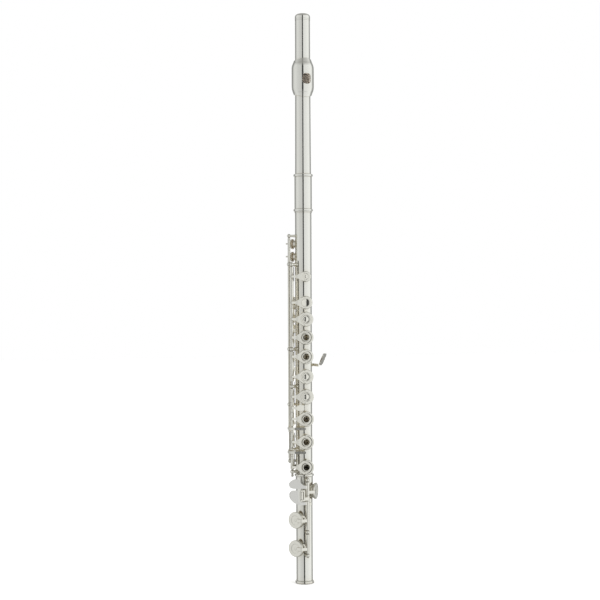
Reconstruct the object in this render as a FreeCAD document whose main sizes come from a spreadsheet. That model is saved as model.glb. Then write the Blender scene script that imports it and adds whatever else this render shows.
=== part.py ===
import FreeCAD, Part
import math
import os

import Sketcher

# Concert flute, standing on its foot: +Z runs from the open end of the foot to the crown.
# The tone holes of the main line face -Y. Angles round the tube are counted from -Y towards +X.
# Every key is drawn closed on its tone hole and then turned about its own rod to the rest position.

os.makedirs("parts", exist_ok=True)
doc = FreeCAD.newDocument("concert_flute")
V = FreeCAD.Vector

DIMS = {
    # tubes
    "bore_radius": 9.5,
    "tube_radius": 9.88,
    "tenon_bottom_z": 118.4,
    "body_top_z": 444.0,
    "socket_floor_z": 118.0,
    "socket_bore_radius": 9.93,
    "socket_radius": 10.35,
    "socket_top_z": 129.2,
    "ring_radius": 11.6,
    "end_ring_radius": 11.05,
    "ring_width": 3.0,
    "barrel_bottom_z": 437.0,
    "barrel_top_z": 482.5,
    "barrel_bore_radius": 9.66,
    "barrel_radius": 10.45,
    # head
    "head_bottom_z": 445.0,
    "head_tenon_radius": 9.6,
    "head_wall": 0.4,
    "head_top_z": 664.0,
    "head_top_radius": 9.0,
    "crown_top_z": 672.0,
    "crown_radius": 9.15,
    "crown_boss_radius": 8.5,
    "screw_radius": 2.0,
    "cork_radius": 8.6,
    "cork_bottom_z": 612.4,
    "cork_top_z": 631.0,
    "mouth_z": 594.0,
    "mouth_angle": 7.5,
    "mouth_length": 12.4,
    "mouth_width": 10.4,
    "plate_z": 596.0,
    "plate_half_length": 22.8,
    "plate_radius": 13.4,
    # tone holes
    "rim_radius": 12.1,
    "chimney_wall": 0.45,
    "bead_radius": 0.42,
    "pad_gap": 0.12,
    "hole_cs": 3.6,
    "hole_upper": 6.5,
    "hole_lower": 6.8,
    "hole_thumb": 5.9,
    "hole_gs": 6.1,
    "hole_trill": 3.9,
    "hole_foot": 7.7,
    # cups, by outer radius
    "cup_upper": 8.7,
    "cup_lower": 9.0,
    "cup_small": 6.2,
    "cup_thumb": 8.0,
    "cup_gs": 8.1,
    "cup_trill": 6.1,
    "cup_foot": 9.9,
    "cup_top": 2.8,
    "pad_depth": 1.7,
    "finger_hole": 3.65,
    # hinges: distance from the tube axis, angle round the tube
    "main_rod_r": 17.2,
    "main_rod_phi": -68.0,
    "trill_rod_r": 17.3,
    "trill_rod_phi": -92.0,
    "thumb_rod_r": 15.6,
    "thumb_rod_phi": -176.0,
    "gs_rod_r": 15.6,
    "gs_rod_phi": 136.0,
    "foot_rod_r": 14.8,
    "foot_rod_phi": 1.5,
    "main_tube": 2.2,
    "main_steel": 1.15,
    "side_tube": 1.6,
    "side_steel": 1.0,
    "running_gap": 0.05,
    # angles of the tone holes off the main line
    "thumb_phi": -135.0,
    "gs_phi": 178.0,
    "trill_phi": -122.0,
    "low_c_phi": -58.0,
    "ds_phi": 62.0,
    # heights of the tone holes
    "z_cs": 361.5,
    "z_touch": 330.9,
    "z_bb": 311.5,
    "z_a": 290.2,
    "z_g": 267.6,
    "z_g_low": 244.1,
    "z_fs": 220.6,
    "z_f": 194.6,
    "z_e": 167.6,
    "z_d": 138.1,
    "z_thumb": 330.0,
    "z_gs": 247.0,
    "z_trill_ds": 400.3,
    "z_trill_d": 385.2,
    "z_foot_ds": 108.9,
    "z_foot_cs": 75.7,
    "z_foot_c": 42.4,
    # rest positions of the keys that stand open, in degrees from closed
    "open_main": 8.8,
    "open_thumb": 9.0,
    "open_foot": 10.5,
}


def make_sheet():
    sheet = doc.addObject("Spreadsheet::Sheet", "dims")
    for row, (alias, number) in enumerate(DIMS.items(), start=1):
        sheet.set(f"A{row}", alias)
        sheet.set(f"B{row}", str(number))
        sheet.setAlias(f"B{row}", alias)
    doc.recompute()


def terms(x):
    return x if isinstance(x, tuple) else (x,)


def val(x):
    """A number, an alias, an alias with a minus sign, or a tuple of these to be added."""
    total = 0.0
    for t in terms(x):
        if isinstance(t, str):
            total += -DIMS[t[1:]] if t.startswith("-") else DIMS[t]
        else:
            total += t
    return total


def expr(x):
    out = []
    for t in terms(x):
        if isinstance(t, str):
            out.append(f"-dims.{t[1:]}" if t.startswith("-") else f"dims.{t}")
        else:
            out.append(f"{t:.6f}")
    return " + ".join(out)


def bind(obj, **sizes):
    for prop, x in sizes.items():
        obj.setExpression(prop, expr(x))


def polar(r, phi):
    a = math.radians(phi)
    return r * math.sin(a), -r * math.cos(a)


# ---------------------------------------------------------------- building blocks


def outline_side(sketch, p, q, radius):
    """One side of an outline: straight, or an arc with its centre left of the path (right if radius is negative)."""
    if radius == 0.0:
        return sketch.addGeometry(Part.LineSegment(p, q), False), 1, 2
    half = (q - p) * 0.5
    rise = math.sqrt(max(0.0, radius * radius - half.Length * half.Length))
    left = V(-half.y, half.x, 0).normalize()
    centre = p + half + left * math.copysign(rise, radius)
    first, last = (p, q) if radius > 0.0 else (q, p)
    a0 = math.atan2(first.y - centre.y, first.x - centre.x)
    a1 = math.atan2(last.y - centre.y, last.x - centre.x)
    if a1 < a0:
        a1 += 2.0 * math.pi
    circle = Part.Circle(centre, V(0, 0, 1), abs(radius))
    number = sketch.addGeometry(Part.ArcOfCircle(circle, a0, a1), False)
    sketch.addConstraint(Sketcher.Constraint("Radius", number, abs(radius)))
    return (number, 1, 2) if radius > 0.0 else (number, 2, 1)


def polygon(sketch, points):
    """A closed outline whose corners are tied to the spreadsheet; a third number makes the next side an arc."""
    count = len(points)
    flat = [V(val(point[0]), val(point[1]), 0) for point in points]
    sides = []
    for i, point in enumerate(points):
        radius = point[2] if len(point) > 2 else 0.0
        sides.append(outline_side(sketch, flat[i], flat[(i + 1) % count], radius))
    for (number, _, end), (following, start, _) in zip(sides, sides[1:] + sides[:1]):
        sketch.addConstraint(Sketcher.Constraint("Coincident", number, end, following, start))
    for (side, start, _), point in zip(sides, points):
        for kind, x in (("DistanceX", point[0]), ("DistanceY", point[1])):
            number = sketch.addConstraint(Sketcher.Constraint(kind, -1, 1, side, start, val(x)))
            if any(isinstance(t, str) for t in terms(x)):
                sketch.setExpression(f"Constraints[{number}]", expr(x))


def plane(body, role):
    return next(f for f in body.Origin.OriginFeatures if f.Role == role)


def turned(name, points):
    """A PartDesign body turned about Z from an outline of (radius, height) corners."""
    body = doc.addObject("PartDesign::Body", name)
    sketch = body.newObject("Sketcher::SketchObject", name + "_outline")
    sketch.AttachmentSupport = [(plane(body, "XZ_Plane"), "")]
    sketch.MapMode = "FlatFace"
    polygon(sketch, points)
    turn = body.newObject("PartDesign::Revolution", name + "_turn")
    turn.Profile = sketch
    turn.ReferenceAxis = (sketch, ["V_Axis"])
    turn.Angle = 360
    body.Tip = turn
    doc.recompute()
    return body


def rod(name, radius, z0, z1, at=(0.0, 0.0)):
    c = doc.addObject("Part::Cylinder", name)
    bind(c, Radius=radius, Height=terms(z1) + tuple(minus(z0)))
    c.Placement.Base = V(at[0], at[1], val(z0))
    c.setExpression("Placement.Base.z", expr(z0))
    return c


def minus(x):
    out = []
    for t in terms(x):
        if isinstance(t, str):
            out.append(t[1:] if t.startswith("-") else "-" + t)
        else:
            out.append(-t)
    return out


def spoke(name, radius, r0, r1, z, phi=0.0):
    """A cylinder standing out from the tube axis, from r0 to r1."""
    c = doc.addObject("Part::Cylinder", name)
    bind(c, Radius=radius, Height=terms(r1) + tuple(minus(r0)))
    x, y = polar(val(r0), phi)
    out = FreeCAD.Rotation(V(0, 0, 1), phi).multiply(FreeCAD.Rotation(V(1, 0, 0), 90))
    c.Placement = FreeCAD.Placement(V(x, y, val(z)), out)
    c.setExpression("Placement.Base.z", expr(z))
    return c


def strip(name, points, z0, z1):
    """A flat outline in XY, drawn out along Z."""
    sketch = doc.addObject("Sketcher::SketchObject", name + "_outline")
    polygon(sketch, points)
    sketch.Placement.Base = V(0, 0, val(z0))
    sketch.setExpression("Placement.Base.z", expr(z0))
    ext = doc.addObject("Part::Extrusion", name)
    ext.Base = sketch
    ext.DirMode = "Normal"
    ext.Solid = True
    bind(ext, LengthFwd=terms(z1) + tuple(minus(z0)))
    return ext


def panel(name, points, r0, r1):
    """An outline of (x, z) corners, drawn out along -Y from r0 to r1."""
    sketch = doc.addObject("Sketcher::SketchObject", name + "_outline")
    polygon(sketch, points)
    sketch.Placement = FreeCAD.Placement(V(0, -val(r0), 0), FreeCAD.Rotation(V(1, 0, 0), 90))
    sketch.setExpression("Placement.Base.y", expr(tuple(minus(r0))))
    ext = doc.addObject("Part::Extrusion", name)
    ext.Base = sketch
    ext.DirMode = "Normal"
    ext.Solid = True
    bind(ext, LengthFwd=terms(r1) + tuple(minus(r0)))
    return ext


def box(name, x0, x1, y0, y1, z0, z1):
    b = doc.addObject("Part::Box", name)
    bind(b, Length=terms(x1) + tuple(minus(x0)), Width=terms(y1) + tuple(minus(y0)))
    bind(b, Height=terms(z1) + tuple(minus(z0)))
    b.Placement.Base = V(val(x0), val(y0), val(z0))
    b.setExpression("Placement.Base.z", expr(z0))
    return b


def ball(name, radius, at):
    s = doc.addObject("Part::Sphere", name)
    bind(s, Radius=radius)
    s.Placement.Base = at
    return s


def fuse(name, shapes):
    f = doc.addObject("Part::MultiFuse", name)
    f.Shapes = shapes
    return f


def cut(name, base, tool):
    c = doc.addObject("Part::Cut", name)
    c.Base = base
    c.Tool = tool
    return c


def common(name, a, b):
    c = doc.addObject("Part::Common", name)
    c.Base = a
    c.Tool = b
    return c


def rounded(name, shape, edges, radius):
    f = doc.addObject("Part::Fillet", name)
    f.Base = shape
    f.Edges = [(e, radius, radius) for e in edges]
    return f


def place(obj, phi=0.0, swing=0.0, centre=(0.0, 0.0)):
    """Turns a piece about its rod by swing, then round the tube by phi."""
    first = FreeCAD.Placement(V(0, 0, 0), FreeCAD.Rotation(V(0, 0, 1), swing), V(centre[0], centre[1], 0))
    second = FreeCAD.Placement(V(0, 0, 0), FreeCAD.Rotation(V(0, 0, 1), phi))
    obj.Placement = second.multiply(first).multiply(obj.Placement)
    return obj


NODES = []


def node(obj, name):
    obj.Label = name
    NODES.append(obj)
    return obj


def local_rod(line, phi):
    """Where a rod line stands in the frame of a tone hole that sits at phi."""
    return polar(DIMS[line + "_rod_r"], DIMS[line + "_rod_phi"] - phi)


# ---------------------------------------------------------------- cups, pads and tone holes


def outward(obj, r, z):
    """Stands a turned piece on the tone hole line: its own Z points out along -Y."""
    obj.Placement = FreeCAD.Placement(V(0, -val(r), val(z)), FreeCAD.Rotation(V(1, 0, 0), 90))
    return obj


SEAT = ("rim_radius", "pad_gap")


def sunk_radius(radius):
    """Radius of the sunk centre of a closed cup."""
    return round(val(radius) * 0.6, 2)


def plateau_cup(name, radius, z, bowl=False):
    """A closed cup: skirt, rounded shoulder, broad rim and a sunk centre, bowl shaped or flat with a boss."""
    inner = sunk_radius(radius)
    if bowl:
        floor = round(2.56 - (inner - 0.5) ** 2 / 44.0, 2)
        centre = [(inner - 0.5, 2.56, -22.6), (0.5, floor), (0.0, floor)]
    else:
        centre = [(inner - 0.5, 2.56), (1.6, 2.56), (1.25, 2.72, 1.9), (0.6, 2.84), (0.0, 2.84)]
    points = [
        (0.0, 1.76), ((radius, -0.8), 1.76), ((radius, -0.8), 0.5), ((radius, -0.25), 0.5, 0.3),
        (radius, 0.78), (radius, ("cup_top", -1.1), 1.15), ((radius, -1.1), "cup_top"), (inner, "cup_top", 0.9),
    ]
    return outward(turned(name, points + centre), SEAT, z)


def ring_cup(name, radius, z):
    """An open cup with a finger hole and its bushing through the pad."""
    hole = "finger_hole"
    points = [
        (hole, 0.1), (hole, 2.8, -0.32), ((hole, 0.3), 3.05), ((hole, 0.7), 3.05, -0.55), ((hole, 1.2), 2.56, 9.0),
        ((radius, -2.2), 2.56, -0.9), ((radius, -1.75), "cup_top"), ((radius, -1.1), "cup_top", -1.15),
        (radius, ("cup_top", -1.1)), (radius, 0.78, -0.3), ((radius, -0.25), 0.5),
        ((radius, -0.8), 0.5), ((radius, -0.8), 1.76), ((hole, 0.5), 1.76), ((hole, 0.5), 0.1),
    ]
    return outward(turned(name, points), SEAT, z)


def pad(name, radius, z, ring=False):
    """A felt pad with softened edges, seated in the cup."""
    inner = ("finger_hole", 0.55) if ring else 0.0
    outer = (radius, -0.85)
    depth = "pad_depth"
    points = [
        (inner, 0.0), ((radius, -1.2), 0.0), (outer, 0.35), (outer, depth), (inner, depth),
    ]
    return outward(turned(name, points), SEAT, z)


def chimneys(name, holes):
    """Drawn tone holes: the risers, their rolled rims and the holes to cut, each at (radius, z, phi)."""
    risers = []
    cutters = []
    for i, (radius, z, phi) in enumerate(holes):
        risers.append(spoke(f"{name}_riser_{i}", (radius, "chimney_wall"), 5.0, ("rim_radius", -0.3), z, phi))
        bead = doc.addObject("Part::Torus", f"{name}_bead_{i}")
        bind(bead, Radius1=(radius, 0.4), Radius2="bead_radius")
        x, y = polar(val(("rim_radius", "-bead_radius")), phi)
        out = FreeCAD.Rotation(V(0, 0, 1), phi).multiply(FreeCAD.Rotation(V(1, 0, 0), 90))
        bead.Placement = FreeCAD.Placement(V(x, y, val(z)), out)
        bead.setExpression("Placement.Base.z", expr(z))
        risers.append(bead)
        cutters.append(spoke(f"{name}_hole_{i}", radius, 5.0, ("rim_radius", 2.0), z, phi))
    return risers, cutters


def holed_tube(name, outer, bore, holes):
    risers, cutters = chimneys(name, holes)
    solid = fuse(name + "_outside", [outer] + risers)
    return cut(name, solid, fuse(name + "_inside", [bore] + cutters))


# ---------------------------------------------------------------- tubes


MAIN_HOLES = [
    ("hole_cs", "z_cs"), ("hole_upper", "z_bb"), ("hole_upper", "z_a"), ("hole_upper", "z_g"),
    ("hole_upper", "z_g_low"), ("hole_lower", "z_fs"), ("hole_lower", "z_f"), ("hole_lower", "z_e"),
    ("hole_lower", "z_d"),
]


def body_tube():
    outer = rod("body_outer", "tube_radius", "tenon_bottom_z", "body_top_z")
    bore = rod("body_bore", "bore_radius", ("tenon_bottom_z", -1.0), ("body_top_z", 1.0))
    holes = [(r, z, 0.0) for r, z in MAIN_HOLES]
    holes.append(("hole_thumb", "z_thumb", DIMS["thumb_phi"]))
    holes.append(("hole_gs", "z_gs", DIMS["gs_phi"]))
    holes.append(("hole_trill", "z_trill_d", DIMS["trill_phi"]))
    holes.append(("hole_trill", "z_trill_ds", DIMS["trill_phi"]))
    node(holed_tube("body_tube_cut", outer, bore, holes), "body_tube")


def foot_tube():
    outer = turned("foot_outer", [
        (0.0, 0.0), ("tube_radius", 0.0), ("tube_radius", ("socket_floor_z", -1.1)),
        ("socket_radius", ("socket_floor_z", -0.3)), ("socket_radius", "socket_top_z"), (0.0, "socket_top_z"),
    ])
    bore = turned("foot_bore", [
        (0.0, -1.0), ("bore_radius", -1.0), ("bore_radius", "socket_floor_z"),
        ("socket_bore_radius", "socket_floor_z"), ("socket_bore_radius", ("socket_top_z", 1.0)),
        (0.0, ("socket_top_z", 1.0)),
    ])
    for piece in (outer, bore):
        place(piece, 90.0)
    holes = [
        ("hole_foot", "z_foot_ds", DIMS["ds_phi"]),
        ("hole_foot", "z_foot_cs", DIMS["low_c_phi"]),
        ("hole_foot", "z_foot_c", DIMS["low_c_phi"]),
    ]
    node(holed_tube("foot_tube_cut", outer, bore, holes), "foot_tube")


def bead_ring(name, inner, outer, z0, width):
    """A turned ring with a softened outside."""
    z1 = terms(z0) + (width,)
    return turned(name, [
        (inner, z0), ((outer, -0.7), z0, 0.95), (outer, terms(z0) + (0.9,)), (outer, z1 + (-0.9,), 0.95),
        ((outer, -0.7), z1), (inner, z1),
    ])


def foot_rings():
    low = bead_ring("ring_end", "tube_radius", "end_ring_radius", 0.0, 3.2)
    high = bead_ring("ring_socket", "socket_radius", "ring_radius", ("socket_top_z", -3.0), 3.0)
    node(fuse("foot_rings_pair", [low, high]), "foot_rings")


def barrel():
    node(turned("barrel_body", [
        ("tube_radius", "barrel_bottom_z"), ("barrel_radius", "barrel_bottom_z"),
        ("barrel_radius", "barrel_top_z"), ("barrel_bore_radius", "barrel_top_z"),
        ("barrel_bore_radius", ("body_top_z", 0.05)), ("tube_radius", ("body_top_z", 0.05)),
    ]), "barrel")
    low = bead_ring("ring_low", "barrel_radius", "ring_radius", ("barrel_bottom_z", 1.4), 3.0)
    high = bead_ring("ring_high", "barrel_radius", "ring_radius", ("barrel_top_z", -3.0), 3.0)
    node(fuse("barrel_rings_pair", [low, high]), "barrel_rings")


HEAD_OUTSIDE = [
    ("head_tenon_radius", "head_bottom_z"), ("head_tenon_radius", 484.0), (9.5, 500.0), (9.28, 560.0),
    (9.12, 600.0), ("head_top_radius", "head_top_z"),
]


def mouth_prism(name, grow, r0, r1):
    """The embouchure hole as a block with rounded corners, in the frame of the mouth hole."""
    half = DIMS["mouth_width"] / 2 + grow
    b = box(name + "_block", -half, half, -r1, -r0, ("mouth_z", -DIMS["mouth_length"] / 2 - grow),
            ("mouth_z", DIMS["mouth_length"] / 2 + grow))
    doc.recompute()
    along = [
        i for i, e in enumerate(b.Shape.Edges, start=1)
        if abs(e.Vertexes[0].Point.y - e.Vertexes[-1].Point.y) > 1.0
    ]
    return rounded(name, b, along, 3.9 + grow)


def head_tube():
    inside = [((r, -0.4), z) for r, z in HEAD_OUTSIDE]
    inside[0] = (("head_tenon_radius", "-head_wall"), "head_bottom_z")
    tube = turned("head_turned", HEAD_OUTSIDE + inside[::-1])
    hole = place(mouth_prism("head_hole", 0.0, 4.0, 20.0), DIMS["mouth_angle"])
    node(cut("head_tube_cut", tube, hole), "head_tube")


PLATE_OUTSIDE = [
    (9.75, "-plate_half_length"), (11.55, -18.0, 17.8), ("plate_radius", -10.0), ("plate_radius", 10.0, 17.8),
    (11.55, 18.0), (9.75, "plate_half_length"),
]
PLATE_INSIDE = [
    (9.28, "plate_half_length"), (10.85, 18.2, -18.7), (("plate_radius", -0.8), 10.2),
    (("plate_radius", -0.8), -10.2, -18.7), (10.85, -18.2), (9.28, "-plate_half_length"),
]
PLATE_CEILING = [
    (0.0, "-plate_half_length"), (9.28, "-plate_half_length"), (10.85, -18.2, 18.7),
    (("plate_radius", -0.8), -10.2), (("plate_radius", -0.8), 10.2, 18.7), (10.85, 18.2),
    (9.28, "plate_half_length"), (0.0, "plate_half_length"),
]


def at_mouth(points):
    return [(point[0], ("plate_z",) + terms(point[1])) + tuple(point[2:]) for point in points]


def lip_plate():
    shell = turned("plate_shell", at_mouth(PLATE_OUTSIDE + PLATE_INSIDE))
    outline = panel("plate_outline", [
        (-14.5, ("plate_z", -17.9), 24.0), (14.5, ("plate_z", -17.9)), (14.5, ("plate_z", 17.9), 24.0),
        (-14.5, ("plate_z", 17.9)),
    ], -1.6, 16.0)
    oval = common("plate_oval", shell, outline)
    hole = mouth_prism("plate_hole", 0.0, 4.0, 20.0)
    node(place(cut("lip_plate_cut", oval, hole), DIMS["mouth_angle"]), "lip_plate")


def riser():
    block = mouth_prism("riser_block", 0.9, 8.0, 14.0)
    hollow = mouth_prism("riser_hollow", 0.0, 4.0, 20.0)
    under = turned("riser_ceiling", at_mouth(PLATE_CEILING))
    ring = cut("riser_ring", block, hollow)
    capped = common("riser_capped", ring, under)
    floor = turned("riser_floor", [(0.0, 560.0), (9.28, 560.0), (9.12, 600.0), (9.0, "head_top_z"), (0.0, "head_top_z")])
    node(place(cut("riser_cut", capped, floor), DIMS["mouth_angle"]), "riser")


def crown():
    shell = turned("crown_turned", [
        (("screw_radius", 0.06), 657.5), ("crown_boss_radius", 657.5), ("crown_boss_radius", ("head_top_z", 0.1)),
        ("crown_radius", ("head_top_z", 0.1)), ("crown_radius", ("head_top_z", 1.5), -0.22),
        ("crown_radius", ("head_top_z", 1.9)), ("crown_radius", ("head_top_z", 4.0), 3.95),
        (5.4, "crown_top_z"), (1.6, "crown_top_z", -0.8), (1.1, ("crown_top_z", -0.5)),
        (0.0, ("crown_top_z", -0.6)), (0.0, 668.6), (("screw_radius", 0.06), 668.6),
    ])
    node(shell, "crown")


def cork():
    screw = ("screw_radius", 0.02)
    node(turned("cork_turned", [
        (screw, "cork_bottom_z"), (("cork_radius", -0.4), "cork_bottom_z"), ("cork_radius", ("cork_bottom_z", 0.8)),
        ("cork_radius", ("cork_top_z", -0.8)), (("cork_radius", -0.4), "cork_top_z"), (screw, "cork_top_z"),
    ]), "cork")
    node(turned("cork_screw_turned", [
        (0.0, ("cork_bottom_z", -1.4)), (8.45, ("cork_bottom_z", -1.4)), (8.55, ("cork_bottom_z", -1.1)),
        (8.55, ("cork_bottom_z", -0.05)), ("screw_radius", ("cork_bottom_z", -0.05)), ("screw_radius", 665.2),
        (1.7, 665.6), (0.0, 665.6),
    ]), "cork_screw")
    node(turned("cork_washer_turned", [
        (screw, ("cork_top_z", 0.05)), (7.0, ("cork_top_z", 0.05)), (7.0, ("cork_top_z", 1.0)),
        (4.0, ("cork_top_z", 1.4)), (4.0, ("cork_top_z", 3.2)), (screw, ("cork_top_z", 3.2)),
    ]), "cork_washer")


# ---------------------------------------------------------------- posts, ribs, rods and springs


def post(name, z, line, ball_radius, hole_radius):
    """A turned post: flange, tapered stem and a ball bored for the rod."""
    reach = DIMS[line + "_rod_r"]
    slim = line == "trill"
    flange = spoke(name + "_flange", 1.55 if slim else 2.7, 8.0, 11.7, z)
    stem = doc.addObject("Part::Cone", name + "_stem")
    bind(stem, Radius1=1.5 if slim else 2.0, Radius2=1.25, Height=(reach, -11.2))
    stem.Placement = FreeCAD.Placement(V(0, -11.2, val(z)), FreeCAD.Rotation(V(1, 0, 0), 90))
    stem.setExpression("Placement.Base.z", expr(z))
    head = ball(name + "_ball", ball_radius, V(0, -reach, val(z)))
    solid = fuse(name + "_solid", [flange, stem, head])
    hole = rod(name + "_hole", hole_radius, terms(z) + (-4.0,), terms(z) + (4.0,), (0.0, -reach))
    return place(cut(name, solid, hole), DIMS[line + "_rod_phi"])


def posts(name, line, heights, base_radius, ball_radius, holes, extra=()):
    group = []
    for i, z in enumerate(heights):
        group.append(post(f"{name}_{i}", z, line, ball_radius[i], holes[i]))
    solid = fuse(name + "_group", group + list(extra))
    seat = rod(name + "_seat", base_radius, heights[-1] - 6.0, heights[0] + 6.0)
    node(cut(name + "_cut", solid, seat), name)


MAIN_POSTS = [375.6, 276.2, 232.4, 158.5, 132.4]
TRILL_POSTS = [409.6, 376.2, 276.2, 211.0, 144.4]
THUMB_POSTS = [343.0, 291.0]
GS_POSTS = [264.4, 236.2]
FOOT_POSTS = [122.9, 62.0, 34.6]


def sector(name, r0, r1, phi0, phi1, z0, z1):
    """Part of a ring round the tube, from phi0 to phi1."""
    outer = doc.addObject("Part::Cylinder", name + "_outer")
    bind(outer, Radius=r1, Height=terms(z1) + tuple(minus(z0)))
    outer.Angle = phi1 - phi0
    turn = FreeCAD.Rotation(V(0, 0, 1), phi0 - 90.0)
    outer.Placement = FreeCAD.Placement(V(0, 0, val(z0)), turn)
    inner = rod(name + "_inner", r0, terms(z0) + (-1.0,), terms(z1) + (1.0,))
    return cut(name, outer, inner)


def carriers():
    rib = sector("rib_sector", "tube_radius", ("tube_radius", 0.85), -82.4, -52.6, 129.7, 380.0)
    slots = [box(f"rib_slot_{i}", -12.0, -4.0, -6.2, -1.2, z - 5.0, z + 5.0) for i, z in enumerate((190.0, 325.0))]
    node(cut("rib_cut", rib, fuse("rib_slots", slots)), "rib_main")
    big = ("main_steel", "running_gap")
    thin = ("side_steel", "running_gap")
    guide = ("side_tube", 0.08)
    posts("posts_main", "main", MAIN_POSTS, ("tube_radius", 0.85), [2.6] * 5, [big] * 5)
    posts("posts_trill", "trill", TRILL_POSTS, "tube_radius", [2.3, 2.6, 2.6, 2.6, 2.3],
          [thin, guide, guide, guide, thin])
    posts("posts_thumb", "thumb", THUMB_POSTS, "tube_radius", [2.3] * 2, ["side_steel"] * 2)
    posts("posts_gs", "gs", GS_POSTS, "tube_radius", [2.1] * 2, ["side_steel"] * 2)


def foot_posts():
    strap = sector("foot_strap", "tube_radius", ("tube_radius", 0.9), -30.0, 38.0, 92.4, 95.6)
    low = sector("foot_rib", "tube_radius", ("tube_radius", 0.9), -14.5, 17.5, 51.6, 66.4)
    group = [strap, low]
    for i, z in enumerate(FOOT_POSTS):
        group.append(post(f"foot_post_{i}", z, "foot", 2.4, ("main_steel", "running_gap")))
    solid = fuse("foot_posts_group", group)
    seat = turned("foot_posts_seat", [
        (0.0, 20.0), ("tube_radius", 20.0), ("tube_radius", ("socket_floor_z", -1.1)),
        ("socket_radius", ("socket_floor_z", -0.3)), ("socket_radius", 132.0), (0.0, 132.0),
    ])
    node(cut("posts_foot_cut", solid, seat), "posts_foot")


def steels():
    main = polar(DIMS["main_rod_r"], DIMS["main_rod_phi"])
    trill = polar(DIMS["trill_rod_r"], DIMS["trill_rod_phi"])
    thumb = polar(DIMS["thumb_rod_r"], DIMS["thumb_rod_phi"])
    gs = polar(DIMS["gs_rod_r"], DIMS["gs_rod_phi"])
    foot = polar(DIMS["foot_rod_r"], DIMS["foot_rod_phi"])
    node(rod("steel_left", "main_steel", 232.7, 378.6, main), "rod_left_hand")
    finial = ball("steel_right_end", 1.6, V(main[0], main[1], 127.9))
    node(fuse("steel_right_pair", [rod("steel_right", "main_steel", 127.4, 232.1, main), finial]), "rod_right_hand")
    node(rod("steel_trill", "side_steel", 142.0, 411.8, trill), "rod_trill")
    node(rod("steel_thumb", "side_steel", 288.9, 345.1, thumb), "rod_thumb")
    node(rod("steel_gs", "side_steel", 234.3, 266.3, gs), "rod_g_sharp")
    node(rod("steel_foot", "main_steel", 31.8, 125.7, foot), "rod_foot")


def needle(name, line, z0, z1, inward=3.3):
    return rod(name, 0.3, z0, z1, polar(DIMS[line + "_rod_r"] - inward, DIMS[line + "_rod_phi"]))


def springs():
    wires = []
    for i, (z0, z1) in enumerate(((356.0, 374.6), (277.0, 296.0), (256.0, 275.4), (233.2, 237.9),
                                  (212.0, 231.6), (159.3, 178.0), (139.5, 157.7))):
        wires.append(needle(f"needle_main_{i}", "main", z0, z1))
    wires.append(needle("needle_trill_0", "trill", 362.0, 375.4, 3.9))
    wires.append(needle("needle_trill_1", "trill", 145.2, 160.0, 3.9))
    wires.append(needle("needle_thumb", "thumb", 324.0, 342.2, 3.0))
    wires.append(needle("needle_gs", "gs", 245.0, 263.6, 3.0))
    node(fuse("springs_body_group", wires), "springs_body")
    feet = []
    for i, (z0, z1) in enumerate(((104.0, 122.2), (62.8, 80.0), (44.0, 61.2))):
        feet.append(needle(f"needle_foot_{i}", "foot", z0, z1, 2.9))
    node(fuse("springs_foot_group", feet), "springs_foot")


# ---------------------------------------------------------------- main line keys


def bend(x0, y0, end):
    """Side view of an arm: from the rod up over the edge of the cup to x = end."""
    return [
        (x0 - 1.75, y0 - 0.9), (x0 - 0.6, y0 - 3.3), (-12.1, -14.35), (-9.5, -15.55), (end, -15.55),
        (end, -14.55), (-9.1, -14.55), (-11.5, -13.5), (x0 + 1.3, y0 - 2.6), (x0 + 0.5, y0),
    ]


def tangent_outline(x_rod, z, radius, root):
    """Plan view of a pointed arm: narrow at the rod, its sides running tangent to the cup."""
    apex = x_rod - 3.0
    reach = -apex
    x_touch = -radius * radius / reach
    z_touch = radius * math.sqrt(max(0.0, 1.0 - (radius / reach) ** 2))
    return [
        (x_rod - 3.0, (z, -root)), (x_rod + 3.4, (z, -root)), (x_touch, (z, -z_touch)), (x_touch + 2.2, (z, -z_touch)),
        (x_touch + 2.2, (z, z_touch)), (x_touch, (z, z_touch)), (x_rod + 3.4, (z, root)), (x_rod - 3.0, (z, root)),
    ]


def main_arm(name, z, radius, root=1.35):
    x0, y0 = local_rod("main", 0.0)
    side = strip(name + "_side", bend(x0, y0, -1.5), (z, -9.5), (z, 9.5))
    plan = panel(name + "_plan", tangent_outline(x0, z, val(radius) - 0.5, root), 3.0, 20.0)
    arm = common(name + "_blank", side, plan)
    clear = spoke(name + "_clear", (radius, -2.3), 12.0, 20.0, z)
    return cut(name, arm, clear)


def lug(name, z0, z1, line, phi, length=3.4, wide=0.9):
    """A small clutch foot on a hinge tube, pointing at angle phi."""
    x0, y0 = polar(DIMS[line + "_rod_r"], DIMS[line + "_rod_phi"])
    b = box(name, -wide, wide, -length, 0.0, z0, z1)
    b.Placement.Rotation = FreeCAD.Rotation(V(0, 0, 1), phi)
    b.Placement.Base = V(*(FreeCAD.Rotation(V(0, 0, 1), phi).multVec(V(-wide, -length, 0)) + V(x0, y0, z0)))
    return b


def hooks(name, spans):
    """Spring hooks: small plates on the inner side of a hinge tube of the main line."""
    return [lug(f"{name}_hook_{i}", z0, z1, "main", 90.0, 4.2, 0.6) for i, (z0, z1) in enumerate(spans)]


def main_key(name, cups, arms, z0, z1, lugs=(), touches=()):
    """Cups, pointed arms and one hinge tube from z0 to z1, bored for the steel."""
    x0, y0 = local_rod("main", 0.0)
    tube = rod(name + "_tube", "main_tube", z0, z1, (x0, y0))
    solid = fuse(name + "_solid", list(cups) + list(arms) + [tube] + list(lugs) + list(touches))
    bore = rod(name + "_bore", ("main_steel", "running_gap"), z0 - 1.0, z1 + 1.0, (x0, y0))
    key = cut(name + "_cut", solid, bore)
    return node(place(key, 0.0, -DIMS["open_main"], (x0, y0)), name)


def main_pads(name, pads):
    group = fuse(name + "_group", pads) if len(pads) > 1 else pads[0]
    node(place(group, 0.0, -DIMS["open_main"], local_rod("main", 0.0)), name)


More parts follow.
